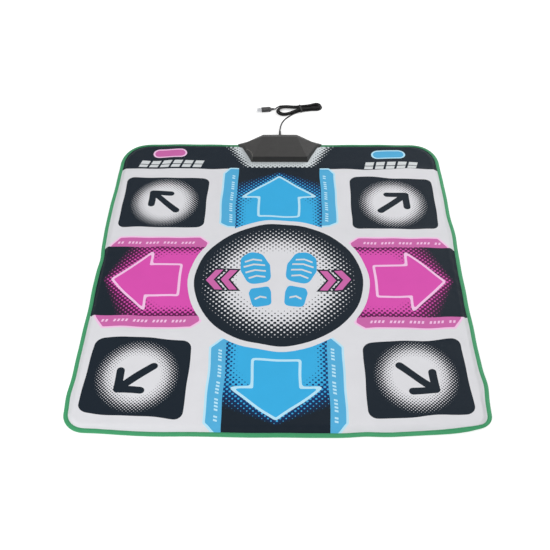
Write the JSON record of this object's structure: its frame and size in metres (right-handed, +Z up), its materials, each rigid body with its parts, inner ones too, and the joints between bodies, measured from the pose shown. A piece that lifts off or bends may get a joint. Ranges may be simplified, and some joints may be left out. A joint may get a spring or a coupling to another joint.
{
  "type": "dance mat game controller",
  "caption": "Soft printed floor mat with stepped-on arrow and corner zones, a faceted controller box at its back edge and a folded USB cord.",
  "frame": {"origin": "on the floor, under the centre of the mat's outline; the mat's underside lies at z = 0", "axes": "+Z up from the floor, +Y from the player's edge to the back edge with the controller box, +X to the right of a player who faces the box"},
  "size_m": [0.82, 1.1059, 0.0235],
  "materials": {
    "printed_cloth": "satin coated woven cloth",
    "navy_print": "satin coated cloth, dark print",
    "blue_print": "satin coated cloth, blue print",
    "pink_print": "satin coated cloth, pink print",
    "anti_slip_cloth": "matt cloth with anti-slip dots",
    "carbon_film": "film with a printed carbon layer",
    "foam": "soft open foam",
    "green_tape": "woven binding tape",
    "black_plastic": "fine spark texture",
    "board_laminate": "paper laminate",
    "black_resin": "glossy epoxy drop",
    "clamp_rubber": "matt rubber",
    "clamp_plastic": "satin",
    "bright_steel": "plated",
    "cord_jacket": "satin vinyl",
    "tongue_plastic": "satin"
  },
  "bodies": {
    "mat": {"bottom_cover": "anti_slip_cloth", "lower_contact_film": "carbon_film", "spacer_foam": "foam", "upper_contact_film": "carbon_film", "padding_foam": "foam", "top_cover": "printed_cloth", "edge_binding": "green_tape", "top_shell": "black_plastic", "bottom_shell": "black_plastic", "circuit_board": "board_laminate", "chip_cover": "black_resin", "clamp_pad": "clamp_rubber", "film_clamp_bar": "clamp_plastic", "cable_gland": "black_plastic", "inner_cord": "cord_jacket", "cord_lead": "cord_jacket", "cord_hank": "cord_jacket", "cord_tail": "cord_jacket", "cord_tie": "cord_jacket", "plug_body": "black_plastic", "plug_shell": "bright_steel", "plug_tongue": "tongue_plastic", "case_screw_1": "bright_steel", "case_screw_2": "bright_steel", "case_screw_3": "bright_steel", "case_screw_4": "bright_steel", "clamp_screw_1": "bright_steel", "clamp_screw_2": "bright_steel"},
    "up_zone": {"up_cover_patch": "blue_print", "up_foam_patch": "foam", "up_contact_patch": "carbon_film"},
    "down_zone": {"down_cover_patch": "blue_print", "down_foam_patch": "foam", "down_contact_patch": "carbon_film"},
    "left_zone": {"left_cover_patch": "pink_print", "left_foam_patch": "foam", "left_contact_patch": "carbon_film"},
    "right_zone": {"right_cover_patch": "pink_print", "right_foam_patch": "foam", "right_contact_patch": "carbon_film"},
    "up_left_zone": {"up_left_cover_patch": "navy_print", "up_left_foam_patch": "foam", "up_left_contact_patch": "carbon_film"},
    "up_right_zone": {"up_right_cover_patch": "navy_print", "up_right_foam_patch": "foam", "up_right_contact_patch": "carbon_film"},
    "down_left_zone": {"down_left_cover_patch": "navy_print", "down_left_foam_patch": "foam", "down_left_contact_patch": "carbon_film"},
    "down_right_zone": {"down_right_cover_patch": "navy_print", "down_right_foam_patch": "foam", "down_right_contact_patch": "carbon_film"},
    "select_key": {"select_cover_patch": "pink_print", "select_foam_patch": "foam", "select_contact_patch": "carbon_film"},
    "start_key": {"start_cover_patch": "blue_print", "start_foam_patch": "foam", "start_contact_patch": "carbon_film"}
  },
  "joints": [
    {"name": "up_press", "type": "slide", "parent": "mat", "child": "up_zone", "axis": [0, 0, -1], "range_m": [0, 0.0028], "stiffness_N_per_m": 2000, "springref_m": -0.0005, "deforming": ["spacer_foam"]},
    {"name": "down_press", "type": "slide", "parent": "mat", "child": "down_zone", "axis": [0, 0, -1], "range_m": [0, 0.0028], "stiffness_N_per_m": 2000, "springref_m": -0.0005, "deforming": ["spacer_foam"]},
    {"name": "left_press", "type": "slide", "parent": "mat", "child": "left_zone", "axis": [0, 0, -1], "range_m": [0, 0.0028], "stiffness_N_per_m": 2000, "springref_m": -0.0005, "deforming": ["spacer_foam"]},
    {"name": "right_press", "type": "slide", "parent": "mat", "child": "right_zone", "axis": [0, 0, -1], "range_m": [0, 0.0028], "stiffness_N_per_m": 2000, "springref_m": -0.0005, "deforming": ["spacer_foam"]},
    {"name": "up_left_press", "type": "slide", "parent": "mat", "child": "up_left_zone", "axis": [0, 0, -1], "range_m": [0, 0.0028], "stiffness_N_per_m": 2000, "springref_m": -0.0005, "deforming": ["spacer_foam"]},
    {"name": "up_right_press", "type": "slide", "parent": "mat", "child": "up_right_zone", "axis": [0, 0, -1], "range_m": [0, 0.0028], "stiffness_N_per_m": 2000, "springref_m": -0.0005, "deforming": ["spacer_foam"]},
    {"name": "down_left_press", "type": "slide", "parent": "mat", "child": "down_left_zone", "axis": [0, 0, -1], "range_m": [0, 0.0028], "stiffness_N_per_m": 2000, "springref_m": -0.0005, "deforming": ["spacer_foam"]},
    {"name": "down_right_press", "type": "slide", "parent": "mat", "child": "down_right_zone", "axis": [0, 0, -1], "range_m": [0, 0.0028], "stiffness_N_per_m": 2000, "springref_m": -0.0005, "deforming": ["spacer_foam"]},
    {"name": "select_press", "type": "slide", "parent": "mat", "child": "select_key", "axis": [0, 0, -1], "range_m": [0, 0.0028], "stiffness_N_per_m": 800, "springref_m": -0.0005, "deforming": ["spacer_foam"]},
    {"name": "start_press", "type": "slide", "parent": "mat", "child": "start_key", "axis": [0, 0, -1], "range_m": [0, 0.0028], "stiffness_N_per_m": 800, "springref_m": -0.0005, "deforming": ["spacer_foam"]}
  ]
}
